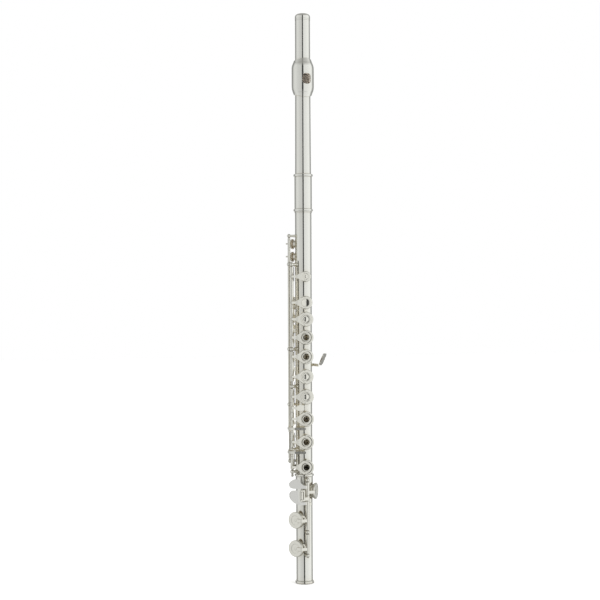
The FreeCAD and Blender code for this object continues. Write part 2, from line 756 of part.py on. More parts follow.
def upper_keys():
    main_key(
        "key_c_sharp",
        [plateau_cup("cs_cup", "cup_small", "z_cs"), plateau_cup("cs_touch", 7.8, "z_touch", True)],
        [main_arm("cs_arm", "z_cs", "cup_small", 1.2), main_arm("touch_arm", "z_touch", 7.8, 1.3)],
        324.4, 372.7,
    )
    main_pads("pad_c_sharp", [pad("cs_pad", "cup_small", "z_cs")])
    main_key(
        "key_b_flat", [plateau_cup("bb_cup", "cup_upper", "z_bb")], [main_arm("bb_arm", "z_bb", "cup_upper")],
        303.6, 324.1, [lug("bb_lug", 303.8, 305.6, "main", 160.0)] + hooks("bb", [(308.6, 313.0)]),
    )
    main_pads("pad_b_flat", [pad("bb_pad", "cup_upper", "z_bb")])
    main_key(
        "key_a", [ring_cup("a_cup", "cup_upper", "z_a")], [main_arm("a_arm", "z_a", "cup_upper")],
        279.1, 303.3, [lug("a_lug", 301.3, 303.1, "main", 160.0)] + hooks("a", [(283.4, 287.4), (296.4, 300.2)]),
    )
    main_pads("pad_a", [pad("a_pad", "cup_upper", "z_a", True)])
    main_key(
        "key_g",
        [ring_cup("g_cup", "cup_upper", "z_g"), plateau_cup("g_low_cup", "cup_upper", "z_g_low")],
        [main_arm("g_arm", "z_g", "cup_upper"), main_arm("g_low_arm", "z_g_low", "cup_upper", 1.1)],
        238.6, 273.3, hooks("g", [(241.0, 244.8), (250.0, 255.0), (261.8, 266.6)]),
    )
    main_pads("pad_g", [pad("g_pad", "cup_upper", "z_g", True), pad("g_low_pad", "cup_upper", "z_g_low")])


def lower_keys():
    main_key(
        "key_f_sharp", [plateau_cup("fs_cup", "cup_lower", "z_fs")], [main_arm("fs_arm", "z_fs", "cup_lower")],
        213.6, 229.5,
    )
    main_pads("pad_f_sharp", [pad("fs_pad", "cup_lower", "z_fs")])
    spans = {"f": (186.0, 202.2), "e": (161.4, 178.6), "d": (135.3, 150.6)}
    catches = {"f": [(188.0, 191.4)], "e": [(164.4, 167.6), (172.4, 175.4)], "d": [(138.0, 141.2)]}
    for letter, (z0, z1) in spans.items():
        z = "z_" + letter
        at_z = z1 - 1.8 if letter == "d" else z0 + 0.2
        main_key(
            "key_" + letter, [ring_cup(letter + "_cup", "cup_lower", z)], [main_arm(letter + "_arm", z, "cup_lower")],
            z0, z1, [lug(letter + "_lug", at_z, at_z + 1.6, "main", 160.0)] + hooks(letter, catches[letter]),
        )
        main_pads("pad_" + letter, [pad(letter + "_pad", "cup_lower", z, True)])
    at = local_rod("main", 0.0)
    collars = []
    for i, z in enumerate((179.0, 151.0)):
        ring = rod(f"collar_{i}", "main_tube", z, z + 1.7, at)
        bore = rod(f"collar_bore_{i}", "main_steel", z - 1.0, z + 3.0, at)
        foot = lug(f"collar_foot_{i}", z, z + 1.7, "main", 160.0)
        collars.append(cut(f"collar_cut_{i}", fuse(f"collar_solid_{i}", [ring, foot]), bore))
    node(place(fuse("collars_group", collars), 0.0, -DIMS["open_main"], at), "clutch_collars")


def shake_key():
    """The side lever worked by the right forefinger, with its bridge bar beside the rod."""
    x0, y0 = local_rod("main", 0.0)
    side = strip("shake_side", [
        (x0 - 1.75, y0 - 0.9), (x0 - 0.8, y0 - 3.4), (-12.9, -14.2), (-10.8, -16.7), (-2.0, -16.4),
        (-2.0, -15.3), (-10.2, -15.5), (-12.0, -13.2), (x0 + 1.2, y0 - 2.7), (x0 + 0.5, y0),
    ], 197.0, 214.0)
    plan = panel("shake_plan", [
        (x0 - 3.0, 206.1), (-12.0, 206.1), (-10.0, 204.6), (-3.6, 204.6), (-2.6, 205.4), (-2.6, 210.6),
        (-3.6, 211.3), (-8.6, 211.3), (-10.6, 210.2), (-12.0, 209.0), (x0 - 3.0, 209.0),
    ], 3.0, 22.0)
    blade = common("shake_blade", side, plan)
    bar = box("shake_bar", x0 - 0.9, x0 + 0.9, y0 + 3.0, y0 + 4.1, 205.0, 241.5)
    link = box("shake_link", x0 - 0.9, x0 + 0.9, y0 + 0.5, y0 + 4.1, 205.0, 208.0)
    main_key("key_b_flat_side", [], [blade], 202.7, 213.3, [bar, link])


# ---------------------------------------------------------------- side keys


def finish_key(name, solid, bore, phi, swing, centre):
    return node(place(cut(name + "_cut", solid, bore), phi, swing, centre), name)


def trill_cup(name, z):
    """Cup and arm of a trill key in the frame of its hole, closed."""
    phi = DIMS["trill_phi"]
    x0, y0 = local_rod("trill", phi)
    cup = plateau_cup(name + "_cup", "cup_trill", z)
    arm = strip(name + "_arm", [
        (x0, y0 - 1.3), (x0, y0 + 0.6), (5.3, -14.45), (-2.3, -14.3), (-2.3, -15.6), (5.0, -16.0),
    ], (z, -1.5), (z, 1.5))
    stub = spoke(name + "_stub", 0.8, "trill_rod_r", ("trill_rod_r", 3.7), z, DIMS["trill_rod_phi"])
    return [place(cup, phi), place(arm, phi), stub]


TRILL_SWEEP = [
    (-18.4, 1.4), (-20.5, -1.6), (-21.1, -4.6), (-21.0, -8.2), (-19.4, -12.3), (-15.2, -16.0), (-1.6, -19.3),
    (-1.6, -18.1), (-14.4, -14.8), (-18.2, -11.5), (-19.8, -7.8), (-19.9, -4.6), (-19.2, -2.2), (-16.6, -0.6),
]


def trill_touch(name, z, half):
    """A curved arm that passes round the main rod and ends in a narrow touch between two cups."""
    sweep = strip(name + "_sweep", TRILL_SWEEP, z - 3.0, z + 3.0)
    plan = panel(name + "_plan", [
        (-22.0, z - 1.5), (-11.6, z - 1.5), (-10.0, z - half), (-3.4, z - half, half + 0.25), (-3.4, z + half),
        (-10.0, z + half), (-11.6, z + 1.5), (-22.0, z + 1.5),
    ], -3.0, 22.0)
    return common(name, sweep, plan)


def trill_keys():
    at = polar(DIMS["trill_rod_r"], DIMS["trill_rod_phi"])
    tube = rod("trill_d_tube", "side_tube", 178.6, 392.3, at)
    solid = fuse("trill_d_solid", trill_cup("trill_d", "z_trill_d") + [tube, trill_touch("trill_d_touch", 183.4, 1.5)])
    bore = rod("trill_d_bore", ("side_steel", "running_gap"), 177.0, 394.0, at)
    node(cut("trill_d_cut", solid, bore), "key_trill_d")
    upper = rod("trill_ds_upper", "side_tube", 392.8, 406.9, at)
    lower = rod("trill_ds_lower", "side_tube", 147.1, 158.5, at)
    ends = [upper, lower, trill_touch("trill_ds_touch", 155.6, 1.5)]
    solid = fuse("trill_ds_solid", trill_cup("trill_ds", "z_trill_ds") + ends)
    bore = rod("trill_ds_bore", "side_steel", 140.0, 412.0, at)
    node(cut("trill_ds_cut", solid, bore), "key_trill_d_sharp")
    for name, z in (("pad_trill_d", "z_trill_d"), ("pad_trill_d_sharp", "z_trill_ds")):
        node(place(pad(name + "_felt", "cup_trill", z), DIMS["trill_phi"]), name)


def g_sharp_key():
    phi = DIMS["gs_phi"]
    x0, y0 = local_rod("gs", phi)
    cup = place(plateau_cup("gs_cup", "cup_gs", "z_gs"), phi)
    arm = place(strip("gs_arm", [
        (x0 - 0.9, y0 - 1.2), (-8.9, -14.6), (-7.0, -15.5), (2.5, -15.5), (2.5, -14.5), (-6.8, -14.5), (x0 + 1.2, y0 + 0.4),
    ], ("z_gs", -1.5), ("z_gs", 1.5)), phi)
    rx, ry = polar(DIMS["gs_rod_r"], DIMS["gs_rod_phi"])
    sweep = strip("gs_sweep", [
        (rx + 0.2, ry - 1.3), (14.6, 7.6), (15.6, 3.2), (15.7, -1.6), (15.8, -5.6), (17.5, -5.3), (17.3, -1.7),
        (16.9, 3.6), (15.6, 8.6), (rx + 1.0, ry + 1.2),
    ], 255.2, 258.4)
    touch = box("gs_touch", 0.0, 1.3, -5.2, 4.6, 257.0, 272.4)
    lean = FreeCAD.Rotation(V(0, 0, 1), -36.0).multiply(FreeCAD.Rotation(V(0, 1, 0), 24.0))
    touch.Placement = FreeCAD.Placement(V(16.6, -4.3, 257.0), lean)
    soft = rounded("gs_touch_soft", touch, (9, 10, 11, 12), 3.0)
    doc.recompute()
    across = [
        i for i, e in enumerate(touch.Shape.Edges, start=1)
        if abs(e.Length - 1.3) < 0.01
    ]
    soft.Edges = [(e, 3.6, 3.6) for e in across]
    tube = rod("gs_tube", "side_tube", 238.7, 261.9, (rx, ry))
    solid = fuse("gs_solid", [cup, arm, sweep, soft, tube])
    bore = rod("gs_bore", ("side_steel", "running_gap"), 237.0, 263.0, (rx, ry))
    node(cut("gs_cut", solid, bore), "key_g_sharp")
    node(place(pad("pad_gs_felt", "cup_gs", "z_gs"), phi), "pad_g_sharp")


def thumb_keys():
    """The thumb B key over the C hole and the lever beside it."""
    phi = DIMS["thumb_phi"]
    x0, y0 = local_rod("thumb", phi)
    cup = plateau_cup("thumb_cup", "cup_thumb", "z_thumb")
    arm = strip("thumb_arm", [
        (x0 - 1.3, y0 - 1.0), (-9.0, -14.7), (-7.0, -15.5), (2.6, -15.5), (2.6, -14.5), (-6.8, -14.5), (x0 + 1.0, y0 + 0.4),
    ], ("z_thumb", -1.6), ("z_thumb", 1.6))
    side = strip("thumb_touch_side", [
        (-7.6, -15.6), (-6.0, -16.6), (3.0, -16.9), (3.0, -15.8), (-5.6, -15.5), (-7.0, -14.7),
    ], 306.0, 332.0)
    plan = panel("thumb_touch_plan", [
        (-4.6, 331.0), (-5.4, 318.0), (-7.4, 312.0), (-6.4, 307.4), (-2.6, 306.4), (1.0, 307.6), (2.4, 312.0),
        (1.6, 318.0), (0.6, 331.0),
    ], 5.0, 20.0)
    touch = common("thumb_touch", side, plan)
    tube = rod("thumb_tube", "side_tube", 317.9, 340.5, (x0, y0))
    bore = rod("thumb_bore", ("side_steel", "running_gap"), 317.0, 342.0, (x0, y0))
    solid = fuse("thumb_solid", [cup, arm, touch, tube])
    finish_key("key_thumb", solid, bore, phi, -DIMS["open_thumb"], (x0, y0))
    node(place(pad("pad_thumb_felt", "cup_thumb", "z_thumb"), phi, -DIMS["open_thumb"], (x0, y0)), "pad_thumb")
    lever_side = strip("lever_side", [
        (x0 - 1.3, y0 - 1.0), (-9.4, -14.9), (-6.0, -16.6), (2.4, -16.9), (2.4, -15.8), (-5.6, -15.5),
        (-8.4, -14.2), (x0 + 1.0, y0 + 0.4),
    ], 290.0, 318.0)
    lever_plan = panel("lever_plan", [
        (x0 - 3.0, 297.4), (-8.0, 297.4), (-6.4, 294.8), (-2.6, 293.6), (0.8, 294.8), (2.2, 298.0), (1.8, 303.4),
        (-2.4, 305.4), (-6.2, 304.4), (-8.0, 300.8), (x0 - 3.0, 300.8),
    ], 5.0, 20.0)
    lever_tube = rod("lever_tube", "side_tube", 293.5, 317.5, (x0, y0))
    lever_bore = rod("lever_bore", ("side_steel", "running_gap"), 292.0, 319.0, (x0, y0))
    lever = fuse("lever_solid", [common("lever_blade", lever_side, lever_plan), lever_tube])
    finish_key("key_thumb_b_flat", lever, lever_bore, phi, -DIMS["open_thumb"] * 0.6, (x0, y0))


# ---------------------------------------------------------------- foot keys


def foot_arm(name, z, side, wide=1.7):
    """Arm from the foot rod over the edge of a foot cup, in the frame of the cup's hole."""
    x0 = side * 12.8
    y0 = -7.4
    points = [
        (x0 + side * 1.4, y0 - 0.9), (side * 12.2, -11.6), (side * 9.6, -15.2), (side * 7.6, -15.7), (side * 2.5, -15.7),
        (side * 2.5, -14.6), (side * 7.6, -14.6), (side * 9.7, -13.8), (side * 11.3, -10.8), (x0 - side * 0.4, y0),
    ]
    return strip(name, points, (z, -wide), (z, wide))


def foot_key(name, phi, z, side, parts, tubes, swing):
    cup = place(plateau_cup(name + "_cup", "cup_foot", z), phi)
    arm = place(foot_arm(name + "_arm", z, side), phi)
    at = polar(DIMS["foot_rod_r"], DIMS["foot_rod_phi"])
    hinge = [rod(f"{name}_tube_{i}", "main_tube", z0, z1, at) for i, (z0, z1) in enumerate(tubes)]
    solid = fuse(name + "_solid", [cup, arm] + hinge + parts)
    gap = 0.0 if len(tubes) > 1 else DIMS["running_gap"]
    bore = rod(name + "_bore", ("main_steel", gap), 30.0, 128.0, at)
    key = node(place(cut(name + "_cut", solid, bore), 0.0, swing, at), name)
    felt = place(pad(name + "_felt", "cup_foot", z), phi)
    node(place(felt, 0.0, swing, at), name.replace("key", "pad"))
    return key


def blade(name, side_points, plan_points, z0, z1):
    return common(name, strip(name + "_side", side_points, z0, z1), panel(name + "_plan", plan_points, 2.0, 24.0))


def foot_keys():
    x0, y0 = polar(DIMS["foot_rod_r"], DIMS["foot_rod_phi"])
    ds_side = [
        (x0 + 0.6, y0 - 2.0), (-4.0, -16.9), (-22.0, -15.5), (-21.9, -14.3), (-4.0, -15.7), (x0 - 1.0, y0 + 0.2),
    ]
    ds_plan = [
        (x0 + 2.0, 113.2), (-4.0, 113.2), (-16.0, 113.5), (-19.8, 114.3, -4.4), (-21.9, 118.6, -5.6),
        (-18.4, 123.4, -9.0), (-12.4, 124.6, -4.0), (-9.6, 122.6, 9.0), (-6.4, 118.2, 6.0), (-2.6, 116.8),
        (x0 + 2.0, 116.6),
    ]
    foot_key(
        "key_foot_d_sharp", DIMS["ds_phi"], "z_foot_ds", -1.0, [blade("foot_ds_touch", ds_side, ds_plan, 112.0, 126.0)],
        [(105.2, 120.3)], 0.0,
    )
    cs_side = [
        (x0 + 0.6, y0 - 1.6), (-4.0, -16.3), (-11.0, -16.1), (-22.6, -14.0), (-22.3, -12.8), (-11.0, -14.9),
        (-4.0, -15.1), (x0 - 1.0, y0 + 0.2),
    ]
    cs_plan = [
        (x0 + 2.0, 94.2), (-9.0, 94.2, -22.0), (-17.0, 97.4, -13.0), (-22.2, 105.0, -5.4), (-18.6, 111.8),
        (-13.2, 111.8), (-12.0, 110.8), (-12.0, 98.8), (-10.6, 97.6), (x0 + 2.0, 97.6),
    ]
    foot_key(
        "key_foot_c_sharp", DIMS["low_c_phi"], "z_foot_cs", 1.0,
        [blade("foot_cs_touch", cs_side, cs_plan, 92.0, 115.0)], [(64.9, 98.4)], DIMS["open_foot"],
    )
    c_side = [
        (x0 + 0.6, y0 - 2.0), (-2.6, -17.2), (-10.0, -17.0), (-10.0, -15.4), (-2.8, -15.8), (x0 - 1.2, y0 + 0.2),
    ]
    c_plan = [
        (x0 + 2.0, 99.6), (-3.6, 99.6), (-4.6, 99.0), (-9.9, 99.0), (-9.9, 100.4), (-5.6, 100.4), (-5.6, 110.2),
        (-9.9, 110.2), (-9.9, 111.6), (-4.2, 111.6), (-4.2, 103.2), (x0 + 2.0, 103.2),
    ]
    axle = (-8.3, -16.2)
    fork = blade("foot_c_touch", c_side, c_plan, 95.0, 113.0)
    fork = cut("foot_c_fork", fork, rod("foot_c_axle_hole", 0.62, 94.0, 114.0, axle))
    foot_key(
        "key_foot_c", DIMS["low_c_phi"], "z_foot_c", 1.0, [fork], [(98.8, 104.8), (37.4, 59.2)], DIMS["open_foot"],
    )
    roller = turned("roller_turned", [
        (0.0, 99.4), (0.55, 99.4), (0.55, 100.7), (1.3, 100.7, 0.8), (2.0, 101.5), (2.0, 109.1, 0.8), (1.3, 109.9),
        (0.55, 109.9), (0.55, 111.2), (0.0, 111.2),
    ])
    roller.Placement.Base = V(axle[0], axle[1], 0)
    node(place(roller, 0.0, DIMS["open_foot"], (x0, y0)), "roller_c")


def check_and_write():
    doc.recompute()
    bad = [o.Name for o in doc.Objects if "Invalid" in o.State or "Error" in o.State]
    for o in NODES:
        if o.Shape.isNull() or not o.Shape.isValid() or not o.Shape.Solids:
            bad.append(o.Label)
    if bad:
        raise RuntimeError("not built: " + ", ".join(bad))
    for o in NODES:
        o.Shape.exportStep(os.path.join("parts", o.Label + ".step"))
    print(len(NODES), "nodes written")


make_sheet()
body_tube()
foot_tube()
foot_rings()
barrel()
head_tube()
lip_plate()
riser()
crown()
cork()
carriers()
foot_posts()
steels()
springs()
upper_keys()
lower_keys()
shake_key()
trill_keys()
g_sharp_key()
thumb_keys()
foot_keys()
check_and_write()
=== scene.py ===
import math

import bmesh
import bpy
from mathutils import Matrix, Vector


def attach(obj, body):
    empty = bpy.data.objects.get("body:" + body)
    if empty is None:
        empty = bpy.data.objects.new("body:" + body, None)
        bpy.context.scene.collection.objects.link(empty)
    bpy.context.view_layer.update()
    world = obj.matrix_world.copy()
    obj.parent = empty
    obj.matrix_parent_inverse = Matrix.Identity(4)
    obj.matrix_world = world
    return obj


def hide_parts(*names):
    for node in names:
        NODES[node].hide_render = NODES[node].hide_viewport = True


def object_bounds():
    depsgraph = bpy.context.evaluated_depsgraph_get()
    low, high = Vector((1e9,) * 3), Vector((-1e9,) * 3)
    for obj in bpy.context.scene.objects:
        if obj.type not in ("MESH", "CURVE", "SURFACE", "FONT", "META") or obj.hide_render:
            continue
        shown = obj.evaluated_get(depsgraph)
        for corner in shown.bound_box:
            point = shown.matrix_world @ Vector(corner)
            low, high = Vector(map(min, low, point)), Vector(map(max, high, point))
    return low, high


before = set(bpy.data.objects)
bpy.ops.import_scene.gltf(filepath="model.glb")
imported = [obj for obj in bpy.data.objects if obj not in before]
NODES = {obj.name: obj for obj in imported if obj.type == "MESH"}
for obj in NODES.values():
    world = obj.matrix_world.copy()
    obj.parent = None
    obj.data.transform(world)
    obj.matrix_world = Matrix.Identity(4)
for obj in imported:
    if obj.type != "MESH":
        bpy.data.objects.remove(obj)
CAD_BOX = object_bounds()
MM = 0.001

# ---------------------------------------------------------------- node helpers


class Tree:
    """A short way to write a node tree."""

    def __init__(self, tree):
        self.tree = tree

    def node(self, kind, **settings):
        n = self.tree.nodes.new(kind)
        for key, value in settings.items():
            setattr(n, key, value)
        return n

    def link(self, a, b):
        self.tree.links.new(a, b)

    def fill(self, socket, x):
        """Give a socket a number, a colour or another node's output."""
        if isinstance(x, (int, float)):
            socket.default_value = x
        elif isinstance(x, tuple):
            socket.default_value = (*x, 1.0)
        else:
            self.link(x, socket)

    def ramp(self, fac, stops):
        """A colour ramp of (place, colour) stops."""
        r = self.node("ShaderNodeValToRGB")
        self.link(fac, r.inputs["Fac"])
        items = r.color_ramp.elements
        while len(items) < len(stops):
            items.new(0.5)
        for item, (place, colour) in zip(items, stops):
            item.position = place
            item.color = (*colour, 1.0)
        return r.outputs["Color"]

    def span(self, value, low, high, out_low, out_high):
        """Map low..high to out_low..out_high, held at both ends."""
        m = self.node("ShaderNodeMapRange", clamp=True)
        self.link(value, m.inputs["Value"])
        for key, number in (("From Min", low), ("From Max", high), ("To Min", out_low), ("To Max", out_high)):
            m.inputs[key].default_value = number
        return m.outputs["Result"]

    def math(self, kind, a, b=None):
        m = self.node("ShaderNodeMath", operation=kind)
        for slot, x in zip(m.inputs, (a, b)):
            if x is not None:
                self.fill(slot, x)
        return m.outputs["Value"]

    def mix(self, fac, a, b):
        m = self.node("ShaderNodeMix", data_type="RGBA")
        for key, x in (("Factor", fac), ("A", a), ("B", b)):
            self.fill(m.inputs[key], x)
        return m.outputs["Result"]

    def axes(self, vector):
        split = self.node("ShaderNodeSeparateXYZ")
        self.link(vector, split.inputs["Vector"])
        return split.outputs


class Graph(Tree):
    """The node tree of a new material, with its patterns in object coordinates."""

    def __init__(self, name):
        self.mat = bpy.data.materials.new(name)
        self.mat.use_nodes = True
        super().__init__(self.mat.node_tree)
        self.bsdf = self.tree.nodes["Principled BSDF"]
        self.coord = self.node("ShaderNodeTexCoord").outputs["Object"]

    def surface(self, **looks):
        """Fill the shader's inputs by name: base_color is its Base Color."""
        for key, x in looks.items():
            self.fill(self.bsdf.inputs[key.replace("_", " ").title()], x)

    def scaled(self, scale, turn=(0.0, 0.0, 0.0), shift=(0.0, 0.0, 0.0)):
        m = self.node("ShaderNodeMapping")
        self.link(self.coord, m.inputs["Vector"])
        m.inputs["Scale"].default_value = scale
        m.inputs["Rotation"].default_value = turn
        m.inputs["Location"].default_value = shift
        return m.outputs["Vector"]

    def noise(self, vector, detail, rough, warp=0.0):
        n = self.node("ShaderNodeTexNoise")
        self.link(vector, n.inputs["Vector"])
        for key, number in (("Scale", 1.0), ("Detail", detail), ("Roughness", rough), ("Distortion", warp)):
            n.inputs[key].default_value = number
        return n.outputs["Fac"]

    def bump(self, height, strength, distance, below=None):
        b = self.node("ShaderNodeBump")
        b.inputs["Strength"].default_value = strength
        b.inputs["Distance"].default_value = distance
        self.link(height, b.inputs["Height"])
        if below is not None:
            self.link(below, b.inputs["Normal"])
        return b.outputs["Normal"]

    def crevice(self, distance):
        """How open a point is within a distance: 1 in the open, towards 0 in corners and bores."""
        n = self.node("ShaderNodeAmbientOcclusion", samples=4)
        n.inputs["Distance"].default_value = distance
        return n.outputs["AO"]


def dimmed(colour, share):
    return tuple(share * c for c in colour)


# ---------------------------------------------------------------- metal

PLATE = (0.87, 0.875, 0.835)
KEY_PLATE = (0.872, 0.866, 0.80)
ROD_STEEL = (0.63, 0.615, 0.56)
SCREW_STEEL = (0.60, 0.59, 0.55)
BLUED_STEEL = (0.16, 0.18, 0.26)
TARNISH = (0.20, 0.18, 0.14)
# painted shade under the keywork: a brown darkening where keys are close above, partly standing for tarnish
SHADE_UNDER_KEYS = (0.40, 0.345, 0.27)
# painted shade near the keywork: a wider, warm darkening of surfaces close to the keys
SHADE_NEAR_KEYS = (0.78, 0.75, 0.64)
# painted shade on the foot's two touches: their colour darkened
TOUCH_SHADE = (0.70, 0.70, 0.68)

# how far each kind of shade looks for a neighbour
CORNER_REACH = 1.2 * MM
UNDER_REACH = 6.0 * MM
NEAR_REACH = 13.0 * MM
BORE_REACH = 24.0 * MM

# a bore's painted shade: its colours below and above BORE_STEP, the openness at which it is full and at which
# it is gone, and how metallic it stays
BORE_STEP = (0.145, 0.160)
# dark painted shade deep in the finger-hole bores, darker below BORE_STEP
BORE_PAINTED_SHADE = {
    "low": (0.30, 0.28, 0.21), "high": (0.82, 0.74, 0.57), "full": 0.06, "none": 0.3, "metal": 0.15,
}
# painted shade in the head tube and riser: pale brown and not metallic, so the dome's light shows it brown
# through the mouth hole
MOUTH_PAINTED_SHADE = {
    "low": (0.93, 0.86, 0.78), "high": (0.93, 0.86, 0.78), "full": 0.22, "none": 0.6, "metal": 0.0,
}

# the foot's two touches: left of this x, above this height
TOUCH_SIDE = (-0.003, -0.001)
TOUCH_FOOT = (0.088, 0.092)

# polishing grain on a tube, a key and a post, as pattern scale per metre
TUBE_GRAIN = (900.0, 900.0, 2600.0)
KEY_GRAIN = (1500.0, 1500.0, 1500.0)
POST_GRAIN = (1800.0, 1800.0, 1800.0)

GRAIN_DEPTH = 0.02 * MM
HAIR_DEPTH = 0.01 * MM
DENT_DEPTH = 0.2 * MM
LATHE_DEPTH = 0.01 * MM


def scratches(g, scale, turn, thin):
    """Sparse hairline marks: the thin level lines of a stretched noise."""
    field = g.noise(g.scaled(scale, turn), detail=1.5, rough=0.4, warp=0.3)
    off = g.math("ABSOLUTE", g.math("SUBTRACT", field, 0.5))
    return g.span(off, 0.0, thin, 1.0, 0.0)


def handling_hairs(g, cloud):
    """Two sets of hairline marks, kept where the cloud is thick."""
    along = scratches(g, (620.0, 560.0, 21.0), (0.04, 0.06, 0.9), thin=0.005)
    across = scratches(g, (40.0, 500.0, 330.0), (1.1, 0.2, 0.4), thin=0.004)
    return g.math("MULTIPLY", g.math("MAXIMUM", along, across), g.span(cloud, 0.45, 0.65, 0.0, 1.0))


def foot_touches(g, axes):
    """Mask over the flat touches at the top of the foot joint."""
    left = g.span(axes["X"], *TOUCH_SIDE, 1.0, 0.0)
    return g.math("MULTIPLY", left, g.span(axes["Z"], *TOUCH_FOOT, 0.0, 1.0))


def silver(name, base, rough, grain, seed, bore=BORE_PAINTED_SHADE, under_shade=0.5, touch_shade=False):
    """Polished plate: polishing grain, handling marks, dulled patches, tarnished corners, and painted shade
    by the keys, on the foot's touches and in a less metallic bore.
    """
    g = Graph(name)
    axes = g.axes(g.coord)
    patches = g.noise(g.scaled((38.0, 38.0, 22.0), shift=(seed, seed * 0.7, seed * 1.3)), 5.0, 0.6, 0.4)
    cloud = g.noise(g.scaled((260.0, 260.0, 180.0), shift=(seed, 3.0, seed)), 4.0, 0.6)
    polish = g.noise(g.scaled(grain), 3.0, 0.6)
    hairs = handling_hairs(g, cloud)
    corner = g.span(g.crevice(CORNER_REACH), 0.25, 0.85, 0.85, 0.0)
    stained = g.math("MULTIPLY", corner, g.span(cloud, 0.3, 0.7, 0.55, 1.0))
    # where a bore is enclosed, by ambient occlusion within BORE_REACH, its painted shade takes over
    bore_shade = g.span(g.crevice(BORE_REACH), bore["full"], bore["none"], 1.0, 0.0)

    shade = g.mix(g.span(patches, 0.35, 0.7, 0.0, 0.35), base, dimmed(base, 0.94))
    # painted shade under the keywork, laid by ambient occlusion within UNDER_REACH
    shade = g.mix(g.span(g.crevice(UNDER_REACH), 0.35, 0.9, under_shade, 0.0), shade, SHADE_UNDER_KEYS)
    # warm painted shade near the keywork, laid by ambient occlusion within NEAR_REACH
    shade = g.mix(g.span(g.crevice(NEAR_REACH), 0.45, 0.95, 0.45, 0.0), shade, SHADE_NEAR_KEYS)
    # the bore's painted shade, in place of the plate's colour
    shade = g.mix(bore_shade, shade, g.mix(g.span(axes["Z"], *BORE_STEP, 0.0, 1.0), bore["low"], bore["high"]))
    # painted shade: the foot's touches coloured darker
    if touch_shade:
        shade = g.mix(foot_touches(g, axes), shade, TOUCH_SHADE)

    dull = g.span(patches, 0.3, 0.72, rough * 0.75, rough * 1.5)
    dull = g.math("ADD", dull, g.math("MULTIPLY", stained, 0.22))
    dull = g.math("ADD", dull, g.math("MULTIPLY", hairs, 0.06))
    dull = g.math("ADD", dull, g.math("MULTIPLY", polish, rough * 0.35))

    normal = g.bump(polish, 0.10, GRAIN_DEPTH)
    normal = g.bump(hairs, 0.06, HAIR_DEPTH, normal)
    normal = g.bump(patches, 0.12, DENT_DEPTH, normal)
    metal = g.span(bore_shade, 0.0, 1.0, 1.0, bore["metal"])
    g.surface(metallic=metal, base_color=g.mix(stained, shade, TARNISH), roughness=dull, normal=normal)
    return g.mat


def steel(name, base, rough, seed):
    """Ground rod: lines round its length, a few darker oil stains."""
    g = Graph(name)
    lines = g.noise(g.scaled((900.0, 900.0, 5200.0), shift=(seed, 0.0, seed)), 2.0, 0.5)
    stain = g.noise(g.scaled((120.0, 120.0, 60.0), shift=(seed, seed, 0.0)), 4.0, 0.6)
    shade = g.ramp(stain, [(0.3, base), (0.75, dimmed(base, 0.72))])
    dull = g.span(lines, 0.3, 0.7, rough * 0.8, rough * 1.5)
    g.surface(base_color=shade, roughness=dull, normal=g.bump(lines, 0.25, LATHE_DEPTH), metallic=1.0)
    return g.mat


# ---------------------------------------------------------------- felt and cork


def felt_skin():
    """Pad: thin translucent membrane over felt, browned and creased."""
    g = Graph("pad_skin")
    fine = g.noise(g.scaled((2600.0, 2600.0, 2600.0)), 3.0, 0.6)
    crease = g.noise(g.scaled((700.0, 700.0, 500.0)), 5.0, 0.65, 1.2)
    stain = g.noise(g.scaled((230.0, 230.0, 230.0)), 3.0, 0.5)
    browns = [(0.25, (0.16, 0.095, 0.04)), (0.5, (0.30, 0.20, 0.095)), (0.8, (0.44, 0.33, 0.18))]
    shade = g.mix(g.span(crease, 0.4, 0.6, 0.0, 0.4), g.ramp(stain, browns), (0.10, 0.06, 0.03))
    dull = g.span(crease, 0.3, 0.7, 0.35, 0.7)
    normal = g.bump(crease, 0.5, 0.12 * MM, g.bump(fine, 0.3, 0.04 * MM))
    g.surface(base_color=shade, roughness=dull, normal=normal, sheen_weight=0.15)
    return g.mat


def cork_bark():
    """Cork: cells with dark pores between them."""
    g = Graph("cork_bark")
    cells = g.node("ShaderNodeTexVoronoi")
    g.link(g.scaled((900.0, 900.0, 700.0)), cells.inputs["Vector"])
    cells.inputs["Scale"].default_value = 1.0
    pores = g.noise(g.scaled((420.0, 420.0, 260.0)), 5.0, 0.7, 0.6)
    browns = [(0.3, (0.16, 0.085, 0.04)), (0.45, (0.46, 0.29, 0.15)), (0.8, (0.60, 0.42, 0.25))]
    between = g.span(cells.outputs["Distance"], 0.0, 0.5, 0.5, 0.0)
    shade = g.mix(between, g.ramp(pores, browns), (0.30, 0.18, 0.09))
    g.surface(base_color=shade, roughness=0.85, normal=g.bump(pores, 0.7, 0.3 * MM))
    return g.mat


# ---------------------------------------------------------------- which node gets which material

TUBE_SEEDS = {
    "head_tube": 1.0, "body_tube": 2.3, "foot_tube": 3.1, "barrel": 4.7, "barrel_rings": 5.2,
    "foot_rings": 6.4, "lip_plate": 7.9, "riser": 8.3, "crown": 9.6,
}
BLOWN_THROUGH = ("head_tube", "riser")
SATIN_KEYS = ("key_trill_d", "key_trill_d_sharp")
# keys whose touches get painted shade
SHADED_TOUCH_KEYS = ("key_foot_d_sharp", "key_foot_c_sharp")
CLEAR_OF_TUBE = ("key_g_sharp",)


def paint(names, material):
    for name in names:
        data = NODES[name].data
        data.materials.clear()
        data.materials.append(material)


def named(prefix):
    return sorted(n for n in NODES if n.startswith(prefix))


def paint_tubes():
    for name, seed in TUBE_SEEDS.items():
        # the blown-through tubes get the pale brown painted shade, the others the dark one
        bore = MOUTH_PAINTED_SHADE if name in BLOWN_THROUGH else BORE_PAINTED_SHADE
        paint([name], silver("plate_" + name, PLATE, 0.075, TUBE_GRAIN, seed, bore=bore))


